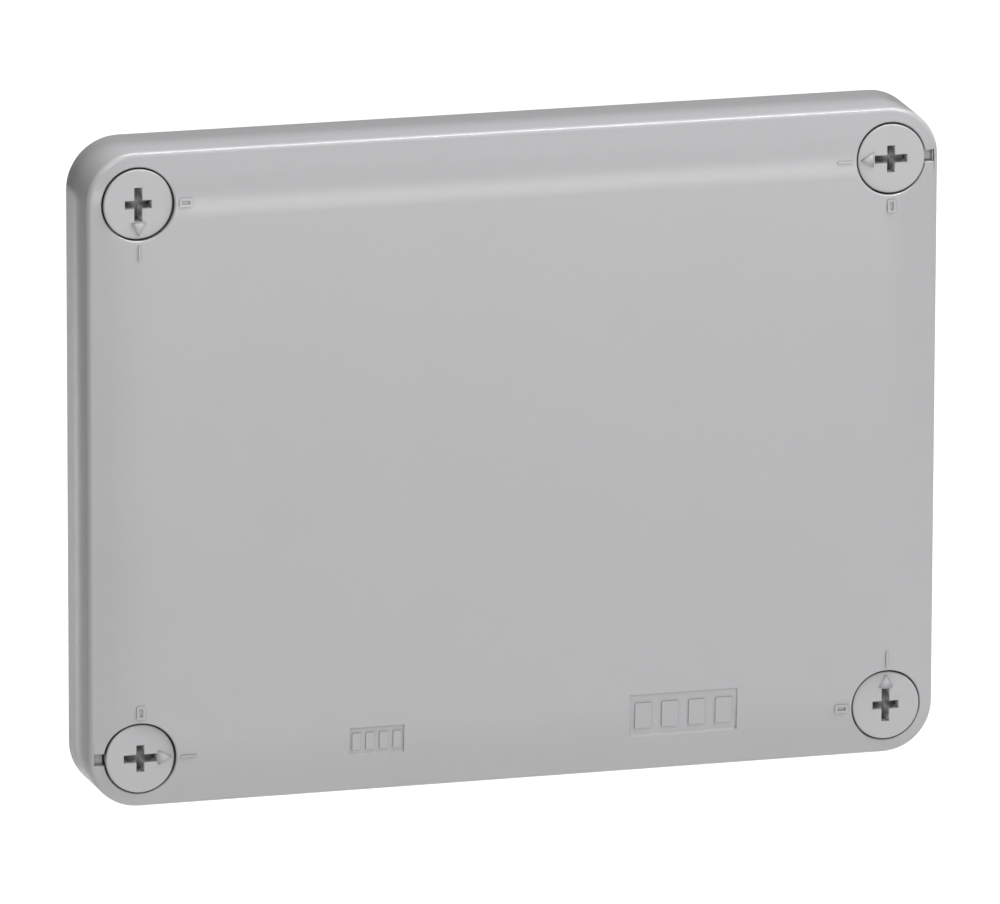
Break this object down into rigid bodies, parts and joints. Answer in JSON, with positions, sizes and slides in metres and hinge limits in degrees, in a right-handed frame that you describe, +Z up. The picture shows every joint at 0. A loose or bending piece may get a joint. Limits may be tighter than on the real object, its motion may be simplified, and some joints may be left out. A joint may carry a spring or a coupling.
{
  "type": "electrical junction box",
  "caption": "Wall-mounted rectangular junction box with a crowned overlapping lid, quarter-turn corner screws, membrane cable entries, a DIN rail and clamp terminals.",
  "frame": {"origin": "centre of the back face, in the plane of the wall", "axes": "+Z up, +X to the right as one faces the lid, -Y out of the wall through the lid, +Y into the wall"},
  "size_m": [0.222, 0.07, 0.169],
  "materials": {
    "lid_plastic": "satin to glossy moulded plastic, light grey",
    "base_plastic": "fine-textured moulded plastic, light grey",
    "screw_plastic": "satin moulded plastic, light grey",
    "seal_rubber": "soft black rubber",
    "grommet_rubber": "soft grey rubber",
    "spring_steel": "spring steel, as rolled",
    "zinc_steel": "zinc-plated steel",
    "bar_brass": "plain brass",
    "terminal_grey": "moulded polyamide, grey",
    "terminal_blue": "moulded polyamide, blue",
    "terminal_green": "moulded polyamide, green with yellow",
    "tag_plastic": "blank white marker plastic"
  },
  "bodies": {
    "base": {"base": "base_plastic", "lock_claw_top_left": "spring_steel", "lock_claw_top_right": "spring_steel", "lock_claw_bottom_right": "spring_steel", "lock_claw_bottom_left": "spring_steel", "cable_grommet_left_1": "grommet_rubber", "cable_grommet_right_1": "grommet_rubber", "cable_grommet_left_2": "grommet_rubber", "cable_grommet_right_2": "grommet_rubber", "cable_grommet_top_1": "grommet_rubber", "cable_grommet_bottom_1": "grommet_rubber", "cable_grommet_top_2": "grommet_rubber", "cable_grommet_bottom_2": "grommet_rubber", "cable_grommet_top_3": "grommet_rubber", "cable_grommet_bottom_3": "grommet_rubber", "din_rail": "zinc_steel", "rail_screws": "zinc_steel", "terminal_housing_1": "terminal_grey", "terminal_bar_1": "bar_brass", "terminal_housing_2": "terminal_blue", "terminal_bar_2": "bar_brass", "terminal_housing_3": "terminal_green", "terminal_bar_3": "bar_brass", "marker_tags": "tag_plastic", "terminal_end_plate": "terminal_grey", "end_stop_left": "terminal_grey", "end_stop_right": "terminal_grey"},
    "lid": {"lid": "lid_plastic", "lid_gasket": "seal_rubber"},
    "lid_screw_top_left": {"lid_screw_top_left": "screw_plastic", "screw_seal_top_left": "seal_rubber", "screw_clip_top_left": "spring_steel"},
    "lid_screw_top_right": {"lid_screw_top_right": "screw_plastic", "screw_seal_top_right": "seal_rubber", "screw_clip_top_right": "spring_steel"},
    "lid_screw_bottom_right": {"lid_screw_bottom_right": "screw_plastic", "screw_seal_bottom_right": "seal_rubber", "screw_clip_bottom_right": "spring_steel"},
    "lid_screw_bottom_left": {"lid_screw_bottom_left": "screw_plastic", "screw_seal_bottom_left": "seal_rubber", "screw_clip_bottom_left": "spring_steel"},
    "clamp_screw_1_upper": {"clamp_screw_1_upper": "zinc_steel"},
    "clamp_cage_1_upper": {"clamp_cage_1_upper": "zinc_steel"},
    "clamp_screw_1_lower": {"clamp_screw_1_lower": "zinc_steel"},
    "clamp_cage_1_lower": {"clamp_cage_1_lower": "zinc_steel"},
    "clamp_screw_2_upper": {"clamp_screw_2_upper": "zinc_steel"},
    "clamp_cage_2_upper": {"clamp_cage_2_upper": "zinc_steel"},
    "clamp_screw_2_lower": {"clamp_screw_2_lower": "zinc_steel"},
    "clamp_cage_2_lower": {"clamp_cage_2_lower": "zinc_steel"},
    "clamp_screw_3_upper": {"clamp_screw_3_upper": "zinc_steel"},
    "clamp_cage_3_upper": {"clamp_cage_3_upper": "zinc_steel"},
    "clamp_screw_3_lower": {"clamp_screw_3_lower": "zinc_steel"},
    "clamp_cage_3_lower": {"clamp_cage_3_lower": "zinc_steel"}
  },
  "joints": [
    {"name": "lid_lift", "type": "slide", "parent": "base", "child": "lid", "axis": [0, -1, 0], "range_m": [0, 0.06], "deforming": ["lock_claw_top_left", "lock_claw_top_right", "lock_claw_bottom_right", "lock_claw_bottom_left"]},
    {"name": "top_left_screw_turn", "type": "hinge", "parent": "lid", "child": "lid_screw_top_left", "pos_m": [-0.0977, -0.0651, 0.0712], "axis": [0, -1, 0], "range_deg": [0, 90]},
    {"name": "top_right_screw_turn", "type": "hinge", "parent": "lid", "child": "lid_screw_top_right", "pos_m": [0.0977, -0.0651, 0.0712], "axis": [0, -1, 0], "range_deg": [0, 90]},
    {"name": "bottom_right_screw_turn", "type": "hinge", "parent": "lid", "child": "lid_screw_bottom_right", "pos_m": [0.0977, -0.0651, -0.0712], "axis": [0, -1, 0], "range_deg": [0, 90]},
    {"name": "bottom_left_screw_turn", "type": "hinge", "parent": "lid", "child": "lid_screw_bottom_left", "pos_m": [-0.0977, -0.0651, -0.0712], "axis": [0, -1, 0], "range_deg": [0, 90]},
    {"name": "clamp_1_upper_turn", "type": "hinge", "parent": "base", "child": "clamp_screw_1_upper", "pos_m": [-0.0081, -0.0416, 0.014], "axis": [0, 1, 0], "range_deg": [0, 2520]},
    {"name": "clamp_1_upper_rise", "type": "slide", "parent": "base", "child": "clamp_cage_1_upper", "axis": [0, -1, 0], "range_m": [0, 0.0049]},
    {"name": "clamp_1_lower_turn", "type": "hinge", "parent": "base", "child": "clamp_screw_1_lower", "pos_m": [-0.0081, -0.0416, -0.014], "axis": [0, 1, 0], "range_deg": [0, 2520]},
    {"name": "clamp_1_lower_rise", "type": "slide", "parent": "base", "child": "clamp_cage_1_lower", "axis": [0, -1, 0], "range_m": [0, 0.0049]},
    {"name": "clamp_2_upper_turn", "type": "hinge", "parent": "base", "child": "clamp_screw_2_upper", "pos_m": [0, -0.0416, 0.014], "axis": [0, 1, 0], "range_deg": [0, 2520]},
    {"name": "clamp_2_upper_rise", "type": "slide", "parent": "base", "child": "clamp_cage_2_upper", "axis": [0, -1, 0], "range_m": [0, 0.0049]},
    {"name": "clamp_2_lower_turn", "type": "hinge", "parent": "base", "child": "clamp_screw_2_lower", "pos_m": [0, -0.0416, -0.014], "axis": [0, 1, 0], "range_deg": [0, 2520]},
    {"name": "clamp_2_lower_rise", "type": "slide", "parent": "base", "child": "clamp_cage_2_lower", "axis": [0, -1, 0], "range_m": [0, 0.0049]},
    {"name": "clamp_3_upper_turn", "type": "hinge", "parent": "base", "child": "clamp_screw_3_upper", "pos_m": [0.0081, -0.0416, 0.014], "axis": [0, 1, 0], "range_deg": [0, 2520]},
    {"name": "clamp_3_upper_rise", "type": "slide", "parent": "base", "child": "clamp_cage_3_upper", "axis": [0, -1, 0], "range_m": [0, 0.0049]},
    {"name": "clamp_3_lower_turn", "type": "hinge", "parent": "base", "child": "clamp_screw_3_lower", "pos_m": [0.0081, -0.0416, -0.014], "axis": [0, 1, 0], "range_deg": [0, 2520]},
    {"name": "clamp_3_lower_rise", "type": "slide", "parent": "base", "child": "clamp_cage_3_lower", "axis": [0, -1, 0], "range_m": [0, 0.0049]}
  ],
  "couplings": [
    {"joint": "clamp_1_upper_turn", "follows": "clamp_1_upper_rise", "rad_per_m": 8976},
    {"joint": "clamp_1_lower_turn", "follows": "clamp_1_lower_rise", "rad_per_m": 8976},
    {"joint": "clamp_2_upper_turn", "follows": "clamp_2_upper_rise", "rad_per_m": 8976},
    {"joint": "clamp_2_lower_turn", "follows": "clamp_2_lower_rise", "rad_per_m": 8976},
    {"joint": "clamp_3_upper_turn", "follows": "clamp_3_upper_rise", "rad_per_m": 8976},
    {"joint": "clamp_3_lower_turn", "follows": "clamp_3_lower_rise", "rad_per_m": 8976}
  ]
}
